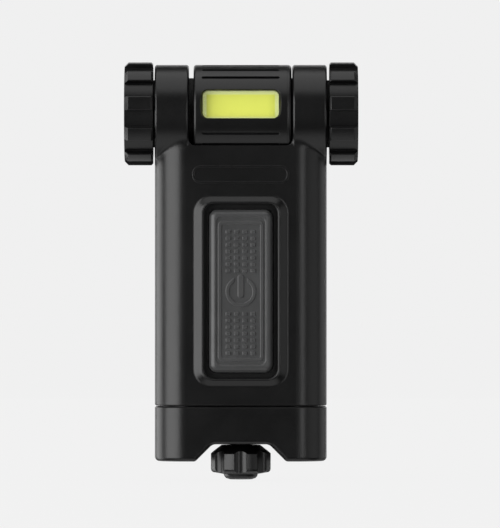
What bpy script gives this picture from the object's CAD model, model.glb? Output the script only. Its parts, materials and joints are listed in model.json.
import json
import math

import bpy
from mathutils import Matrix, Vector


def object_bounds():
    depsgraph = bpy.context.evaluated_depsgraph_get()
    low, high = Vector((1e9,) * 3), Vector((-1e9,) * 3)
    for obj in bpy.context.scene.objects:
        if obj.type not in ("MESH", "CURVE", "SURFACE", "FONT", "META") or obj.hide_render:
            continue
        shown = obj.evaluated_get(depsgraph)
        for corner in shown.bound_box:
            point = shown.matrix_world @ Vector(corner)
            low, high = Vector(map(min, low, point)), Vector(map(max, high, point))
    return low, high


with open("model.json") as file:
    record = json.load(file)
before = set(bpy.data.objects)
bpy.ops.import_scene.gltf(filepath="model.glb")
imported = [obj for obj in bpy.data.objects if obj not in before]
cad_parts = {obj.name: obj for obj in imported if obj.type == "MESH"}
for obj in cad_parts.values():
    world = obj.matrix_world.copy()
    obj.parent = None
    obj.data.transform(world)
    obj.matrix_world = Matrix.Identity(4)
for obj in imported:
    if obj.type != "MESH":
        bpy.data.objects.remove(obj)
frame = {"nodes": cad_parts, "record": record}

cad_lo, cad_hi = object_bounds()
NODES = frame["nodes"]
MM = 0.001


# ------------------------------------------------------------------ shaders
class Mat:
    """Small helper round one node tree."""

    def __init__(self, name):
        self.m = bpy.data.materials.new(name)
        self.m.use_nodes = True
        self.t = self.m.node_tree
        self.b = self.t.nodes["Principled BSDF"]
        self.coord = self.t.nodes.new("ShaderNodeTexCoord").outputs["Object"]
        self.normal = None

    def node(self, kind, **sets):
        n = self.t.nodes.new(kind)
        for k, v in sets.items():
            setattr(n, k, v)
        return n

    def link(self, a, b):
        self.t.links.new(a, b)

    def scaled(self, sx, sy, sz):
        n = self.node("ShaderNodeMapping")
        n.inputs["Scale"].default_value = (sx, sy, sz)
        self.link(self.coord, n.inputs["Vector"])
        return n.outputs["Vector"]

    def noise(self, scale, detail=3.0, rough=0.55, vec=None, distort=0.0):
        n = self.node("ShaderNodeTexNoise")
        n.inputs["Scale"].default_value = scale
        n.inputs["Detail"].default_value = detail
        n.inputs["Roughness"].default_value = rough
        n.inputs["Distortion"].default_value = distort
        self.link(vec or self.coord, n.inputs["Vector"])
        return n.outputs["Fac"]

    def voronoi(self, scale, vec=None, feature="SMOOTH_F1"):
        n = self.node("ShaderNodeTexVoronoi", feature=feature)
        n.inputs["Scale"].default_value = scale
        self.link(vec or self.coord, n.inputs["Vector"])
        return n.outputs["Distance"]

    def remap(self, value, a, b, c, d):
        n = self.node("ShaderNodeMapRange")
        n.clamp = True
        for i, v in zip(("From Min", "From Max", "To Min", "To Max"), (a, b, c, d)):
            n.inputs[i].default_value = v
        self.link(value, n.inputs["Value"])
        return n.outputs["Result"]

    def math(self, op, a, b):
        n = self.node("ShaderNodeMath", operation=op)
        for i, v in enumerate((a, b)):
            if isinstance(v, (int, float)):
                n.inputs[i].default_value = v
            else:
                self.link(v, n.inputs[i])
        return n.outputs[0]

    def mix(self, fac, a, b):
        n = self.node("ShaderNodeMix", data_type="RGBA")
        self.link(fac, n.inputs[0]) if not isinstance(fac, (int, float)) else setattr(n.inputs[0], "default_value", fac)
        for s, v in ((n.inputs[6], a), (n.inputs[7], b)):
            if isinstance(v, tuple):
                s.default_value = (*v, 1.0)
            else:
                self.link(v, s)
        return n.outputs[2]

    def bump(self, height, distance, strength=1.0):
        n = self.node("ShaderNodeBump")
        n.inputs["Strength"].default_value = strength
        n.inputs["Distance"].default_value = distance
        self.link(height, n.inputs["Height"])
        if self.normal is not None:
            self.link(self.normal, n.inputs["Normal"])
        self.normal = n.outputs["Normal"]

    def edges(self, radius, lo=0.86, hi=0.995):
        """1 on convex and concave edges, 0 on flats."""
        bev = self.node("ShaderNodeBevel")
        bev.samples = 6
        bev.inputs["Radius"].default_value = radius
        geo = self.node("ShaderNodeNewGeometry")
        dot = self.node("ShaderNodeVectorMath", operation="DOT_PRODUCT")
        self.link(bev.outputs["Normal"], dot.inputs[0])
        self.link(geo.outputs["Normal"], dot.inputs[1])
        return self.remap(dot.outputs["Value"], lo, hi, 1.0, 0.0)

    def soften(self, radius):
        bev = self.node("ShaderNodeBevel")
        bev.samples = 6
        bev.inputs["Radius"].default_value = radius
        self.normal = bev.outputs["Normal"]

    def done(self, color=None, rough=None):
        if color is not None:
            self.link(color, self.b.inputs["Base Color"])
        if rough is not None:
            self.link(rough, self.b.inputs["Roughness"])
        if self.normal is not None:
            self.link(self.normal, self.b.inputs["Normal"])
        return self.m


def plastic(name, dark, light, worn, r0, r1, grain=3200.0, depth=0.000035, wear=0.35, soft=0.00018, scratch=0.25):
    k = Mat(name)
    k.b.inputs["Specular IOR Level"].default_value = 0.42
    if soft:
        k.soften(soft)
    big = k.noise(70.0, 4.0, 0.6)
    mid = k.noise(900.0, 3.0, 0.6)
    cells = k.voronoi(grain)
    fine = k.noise(grain * 2.2, 2.0, 0.5)
    grainy = k.math("ADD", k.math("MULTIPLY", cells, 0.65), k.math("MULTIPLY", fine, 0.5))
    k.bump(grainy, depth, 0.55)
    # hairline scuffs, long in one direction and broken up
    scuff = k.noise(1.0, 3.0, 0.7, vec=k.scaled(260.0, 700.0, 5200.0), distort=0.6)
    scuff2 = k.noise(1.0, 3.0, 0.7, vec=k.scaled(4800.0, 500.0, 300.0), distort=0.5)
    line = k.math("MAXIMUM", k.remap(scuff, 0.685, 0.72, 0.0, 1.0), k.remap(scuff2, 0.70, 0.73, 0.0, 1.0))
    line = k.math("MULTIPLY", line, k.remap(big, 0.45, 0.62, 0.0, scratch))
    edge = k.math("MULTIPLY", k.edges(0.00028), k.remap(mid, 0.38, 0.66, 0.15, wear))
    base = k.mix(k.remap(big, 0.3, 0.7, 0.0, 1.0), dark, light)
    base = k.mix(k.remap(mid, 0.35, 0.75, 0.0, 0.35), base, tuple(0.6 * c for c in dark))
    col = k.mix(edge, base, worn)
    col = k.mix(line, col, worn)
    rough = k.remap(k.math("ADD", k.math("MULTIPLY", big, 0.6), k.math("MULTIPLY", mid, 0.4)), 0.3, 0.7, r0, r1)
    rough = k.math("SUBTRACT", rough, k.math("MULTIPLY", edge, 0.12))
    return k.done(col, rough)


def rubber(name, dark, light, r0=0.62, r1=0.8, grain=4200.0, depth=0.00003, dust=(0.16, 0.16, 0.155), dusty=0.25, soft=0.00015):
    k = Mat(name)
    k.b.inputs["Specular IOR Level"].default_value = 0.45
    k.b.inputs["Sheen Weight"].default_value = 0.12
    k.b.inputs["Sheen Roughness"].default_value = 0.45
    if soft:
        k.soften(soft)
    big = k.noise(120.0, 4.0, 0.6)
    mid = k.noise(1400.0, 3.0, 0.6)
    fine = k.noise(grain, 3.0, 0.6)
    k.bump(fine, depth, 0.6)
    base = k.mix(k.remap(big, 0.3, 0.7, 0.0, 1.0), dark, light)
    edge = k.math("MULTIPLY", k.edges(0.0003), k.remap(mid, 0.3, 0.7, 0.1, dusty))
    col = k.mix(edge, base, dust)
    return k.done(col, k.remap(mid, 0.3, 0.7, r0, r1))


def metal(name, a, b, r0, r1, stretch=(400.0, 400.0, 9000.0), depth=0.000006, aniso=0.3, soft=0.0001):
    k = Mat(name)
    k.b.inputs["Metallic"].default_value = 1.0
    k.b.inputs["Anisotropic"].default_value = aniso
    if soft:
        k.soften(soft)
    big = k.noise(200.0, 4.0, 0.6)
    brush = k.noise(1.0, 4.0, 0.65, vec=k.scaled(*stretch))
    k.bump(brush, depth, 0.5)
    col = k.mix(k.remap(k.math("ADD", k.math("MULTIPLY", big, 0.5), k.math("MULTIPLY", brush, 0.5)), 0.3, 0.7, 0.0, 1.0), a, b)
    return k.done(col, k.remap(brush, 0.25, 0.75, r0, r1))


def board(name, a, b):
    k = Mat(name)
    k.b.inputs["Coat Weight"].default_value = 0.3
    grid = k.voronoi(700.0, feature="F1")
    n = k.noise(2500.0, 2.0, 0.5)
    k.bump(grid, 0.00003, 0.4)
    col = k.mix(k.remap(grid, 0.1, 0.6, 0.0, 1.0), a, b)
    return k.done(col, k.remap(n, 0.3, 0.7, 0.3, 0.5))


M = {}
M["black_shell_plastic"] = plastic("moulded_black_shell", (0.0013, 0.0013, 0.0014), (0.0022, 0.0022, 0.0023), (0.018, 0.018, 0.019), 0.28, 0.345)
M["black_head_plastic"] = plastic("moulded_black_head", (0.0012, 0.0012, 0.0013), (0.0020, 0.0020, 0.0021), (0.018, 0.018, 0.019), 0.28, 0.35)
M["black_wheel_plastic"] = plastic("moulded_black_wheel", (0.0012, 0.0012, 0.0013), (0.0021, 0.0021, 0.0022), (0.020, 0.020, 0.021), 0.28, 0.35, wear=0.22)
M["grey_button_rubber"] = rubber("grey_button_rubber", (0.037, 0.0375, 0.038), (0.048, 0.0485, 0.049), r0=0.32, r1=0.44, dust=(0.16, 0.162, 0.164), dusty=0.45)
M["black_rubber"] = rubber("black_rubber", (0.007, 0.007, 0.007), (0.011, 0.011, 0.011), dust=(0.03, 0.03, 0.03))
M["white_plastic"] = plastic("white_moulding", (0.55, 0.55, 0.53), (0.62, 0.62, 0.60), (0.7, 0.7, 0.68), 0.35, 0.5, wear=0.2, scratch=0.05)
M["bearing_plastic"] = plastic("bearing_plastic", (0.27, 0.27, 0.25), (0.33, 0.33, 0.31), (0.42, 0.42, 0.4), 0.3, 0.42, wear=0.3, scratch=0.1)
M["chip_black"] = plastic("chip_epoxy", (0.012, 0.012, 0.012), (0.02, 0.02, 0.02), (0.06, 0.06, 0.06), 0.45, 0.6, wear=0.2, scratch=0.05)
M["board_white"] = board("white_mask_board", (0.72, 0.73, 0.70), (0.80, 0.80, 0.78))
M["board_green"] = board("green_mask_board", (0.012, 0.09, 0.03), (0.02, 0.14, 0.05))
M["aluminium"] = metal("turned_aluminium", (0.62, 0.63, 0.64), (0.74, 0.75, 0.76), 0.26, 0.42, stretch=(9000.0, 500.0, 500.0))
M["stainless"] = metal("stainless", (0.46, 0.46, 0.47), (0.58, 0.58, 0.59), 0.24, 0.40)
M["spring_steel"] = metal("spring_steel", (0.42, 0.41, 0.39), (0.55, 0.54, 0.52), 0.22, 0.36, stretch=(1500.0, 1500.0, 1500.0))
M["plated_contact"] = metal("nickel_contact", (0.62, 0.59, 0.53), (0.74, 0.71, 0.65), 0.14, 0.26, stretch=(900.0, 900.0, 900.0))
M["brass"] = metal("brass_insert", (0.58, 0.40, 0.16), (0.72, 0.53, 0.25), 0.22, 0.36)


def coated_steel(name):
    k = Mat(name)
    k.b.inputs["Specular IOR Level"].default_value = 0.5
    k.soften(0.00015)
    big = k.noise(150.0, 4.0, 0.6)
    mid = k.noise(1100.0, 4.0, 0.65)
    peel = k.noise(2600.0, 2.0, 0.5)
    k.bump(peel, 0.00002, 0.5)
    base = k.mix(k.remap(big, 0.3, 0.7, 0.0, 1.0), (0.012, 0.012, 0.013), (0.019, 0.019, 0.020))
    edge = k.math("MULTIPLY", k.edges(0.0003, 0.80, 0.99), k.remap(mid, 0.45, 0.6, 0.0, 0.9))
    col = k.mix(edge, base, (0.34, 0.34, 0.35))
    k.link(k.math("MULTIPLY", edge, 0.9), k.b.inputs["Metallic"])
    return k.done(col, k.remap(mid, 0.3, 0.7, 0.32, 0.46))


M["black_steel"] = coated_steel("black_coated_steel")


def jacket(name):
    k = Mat(name)
    k.b.inputs["Coat Weight"].default_value = 0.6
    k.b.inputs["Coat Roughness"].default_value = 0.12
    big = k.noise(160.0, 3.0, 0.6)
    wrinkle = k.noise(1.0, 3.0, 0.6, vec=k.scaled(500.0, 500.0, 1600.0))
    k.bump(wrinkle, 0.00003, 0.5)
    sep = k.node("ShaderNodeSeparateXYZ")
    k.link(k.coord, sep.inputs[0])
    band = k.remap(sep.outputs["Z"], 0.0105, 0.0107, 0.0, 1.0)
    col = k.mix(band, (0.055, 0.058, 0.065), (0.36, 0.37, 0.39))
    col = k.mix(k.remap(big, 0.3, 0.7, 0.0, 0.25), col, (0.20, 0.21, 0.22))
    return k.done(col, k.remap(wrinkle, 0.3, 0.7, 0.2, 0.34))


M["cell_jacket"] = jacket("cell_sleeve")


def phosphor(name):
    k = Mat(name)
    k.b.inputs["Subsurface Weight"].default_value = 0.0
    k.b.inputs["Specular IOR Level"].default_value = 0.4
    k.b.inputs["Coat Weight"].default_value = 0.5
    k.b.inputs["Coat Roughness"].default_value = 0.2
    grains = k.noise(4200.0, 3.0, 0.6)
    dies = k.voronoi(620.0, feature="F1")
    big = k.noise(140.0, 3.0, 0.5)
    k.bump(k.math("ADD", grains, k.math("MULTIPLY", dies, 0.6)), 0.00004, 0.5)
    sep = k.node("ShaderNodeSeparateXYZ")
    k.link(k.coord, sep.inputs[0])
    # deeper colour towards the ends, where the silicone thins out
    ends = k.remap(k.math("ABSOLUTE", sep.outputs["X"], 0.0), 0.0078, 0.0102, 0.0, 1.0)
    col = k.mix(ends, (0.585, 0.625, 0.055), (0.47, 0.51, 0.030))
    col = k.mix(k.remap(grains, 0.35, 0.7, 0.0, 0.22), col, (0.65, 0.70, 0.10))
    col = k.mix(k.remap(big, 0.3, 0.7, 0.0, 0.15), col, (0.49, 0.52, 0.035))
    # pale dam round the light surface, in the window's own plane
    tilt = math.radians(11.0)
    up = k.math("ADD", k.math("MULTIPLY", k.math("ADD", sep.outputs["Y"], 0.0115), math.sin(tilt)),
                k.math("MULTIPLY", k.math("ADD", sep.outputs["Z"], -0.056), math.cos(tilt)))
    side = k.math("SUBTRACT", k.math("ABSOLUTE", k.math("ADD", sep.outputs["X"], 0.0), 0.0), 0.00985)
    rise = k.math("SUBTRACT", k.math("ABSOLUTE", up, 0.0), 0.00325)
    dam = k.remap(k.math("ADD", k.math("MAXIMUM", side, rise), k.math("MULTIPLY", grains, 0.0002)), 0.0, 0.00035, 0.0, 1.0)
    col = k.mix(dam, col, (0.60, 0.66, 0.235))
    k.link(col, k.b.inputs["Emission Color"])
    k.b.inputs["Emission Strength"].default_value = 0.30
    return k.done(col, k.remap(grains, 0.3, 0.7, 0.4, 0.6))


M["phosphor_yellow"] = phosphor("phosphor")


def clear(name):
    k = Mat(name)
    k.b.inputs["Base Color"].default_value = (0.92, 0.95, 0.78, 1.0)
    k.b.inputs["IOR"].default_value = 1.5
    k.b.inputs["Specular IOR Level"].default_value = 0.7
    smear = k.noise(240.0, 4.0, 0.6)
    fine = k.noise(5200.0, 2.0, 0.5)
    k.bump(fine, 0.000004, 0.3)
    edge = k.edges(0.0009, 0.80, 0.995)
    k.link(k.remap(edge, 0.0, 1.0, 0.035, 0.42), k.b.inputs["Alpha"])
    return k.done(None, k.remap(smear, 0.3, 0.7, 0.05, 0.14))


M["lens_clear"] = clear("lens_polycarbonate")

slot_of = {s["node"]: s["material_slot"] for s in frame["record"]["subparts"]}
for name, o in NODES.items():
    o.data.materials.clear()
    o.data.materials.append(M[slot_of[name]])
    for f in o.data.polygons:
        f.material_index = 0

# ------------------------------------------------------------------- stage
lo, hi = cad_lo, cad_hi
floor_mat = bpy.data.materials.new("pale_floor")
floor_mat.use_nodes = True
t = floor_mat.node_tree
bsdf = t.nodes["Principled BSDF"]
bsdf.inputs["Base Color"].default_value = (0.80, 0.80, 0.80, 1)
bsdf.inputs["Roughness"].default_value = 0.9
bsdf.inputs["Specular IOR Level"].default_value = 0.0
em = t.nodes.new("ShaderNodeEmission")
em.inputs["Color"].default_value = (0.884, 0.884, 0.884, 1)
mixer = t.nodes.new("ShaderNodeMixShader")
mixer.inputs[0].default_value = 0.985
t.links.new(bsdf.outputs[0], mixer.inputs[1])
t.links.new(em.outputs[0], mixer.inputs[2])
t.links.new(mixer.outputs[0], t.nodes["Material Output"].inputs["Surface"])
bpy.ops.mesh.primitive_circle_add(vertices=96, radius=6.0, fill_type="NGON", location=(0, 0, lo.z - 0.0004))
floor = bpy.context.object
floor.name = "floor"
floor.data.materials.append(floor_mat)
floor.visible_glossy = False
floor.visible_diffuse = False
floor.visible_shadow = False

world = bpy.data.worlds.new("studio")
bpy.context.scene.world = world
world.use_nodes = True
wt = world.node_tree
bg = wt.nodes["Background"]
bg.inputs["Color"].default_value = (0.871, 0.871, 0.871, 1)
bg.inputs["Strength"].default_value = 1.0
dim = wt.nodes.new("ShaderNodeBackground")
dim.inputs["Color"].default_value = (0.045, 0.045, 0.045, 1)
dim.inputs["Strength"].default_value = 1.0
lp = wt.nodes.new("ShaderNodeLightPath")
wm = wt.nodes.new("ShaderNodeMixShader")
wt.links.new(lp.outputs["Is Camera Ray"], wm.inputs[0])
wt.links.new(dim.outputs[0], wm.inputs[1])
wt.links.new(bg.outputs[0], wm.inputs[2])
wt.links.new(wm.outputs[0], wt.nodes["World Output"].inputs["Surface"])

centre = Vector((0, -11.5 * MM, 12.0 * MM))


def panel(name, azimuth, elevation, distance, width, height, power, spread=180):
    """Area light; azimuth 0 is in front, positive to the right."""
    a, e = math.radians(azimuth), math.radians(elevation)
    d = Vector((math.sin(a) * math.cos(e), -math.cos(a) * math.cos(e), math.sin(e)))
    light = bpy.data.lights.new(name, "AREA")
    light.shape = "RECTANGLE"
    light.size, light.size_y = width, height
    light.energy = power
    light.spread = math.radians(spread)
    o = bpy.data.objects.new(name, light)
    o.location = centre + d * distance
    o.rotation_mode = "QUATERNION"
    o.rotation_quaternion = (-d).to_track_quat("-Z", "Y")
    bpy.context.scene.collection.objects.link(o)
    o.visible_camera = False
    return o


panel("left_softbox", -52, 4, 0.9, 0.95, 1.1, 13.0)
panel("left_edge", -118, 0, 0.9, 0.65, 1.1, 6.0)
panel("right_softbox", 25, 4, 1.1, 0.26, 1.0, 2.2)
panel("right_fill", 68, 2, 1.0, 0.8, 1.0, 1.6)
panel("right_edge", 118, 0, 0.9, 0.6, 1.0, 1.2)
panel("top_softbox", 0, 84, 0.9, 1.2, 1.15, 5.6)
panel("floor_bounce", 0, -70, 0.9, 1.1, 0.8, 2.3)
panel("back_fill", 180, 8, 1.2, 1.5, 1.0, 4.6)
panel("back_bounce", 180, -58, 1.0, 1.4, 1.0, 3.2)

camera = bpy.data.cameras.new("camera")
cam = bpy.data.objects.new("camera", camera)
bpy.context.scene.collection.objects.link(cam)
cam.location = (2.68 * MM, -11.5 * MM - 2.0, 12.26 * MM)
cam.rotation_euler = (math.radians(90), 0, 0)
camera.sensor_width = 36
camera.lens = 36 * 2000 / 153.8
camera.clip_start, camera.clip_end = 0.1, 20
bpy.context.scene.camera = cam
bpy.context.scene.view_settings.view_transform = "Standard"
bpy.context.scene.view_settings.look = "None"
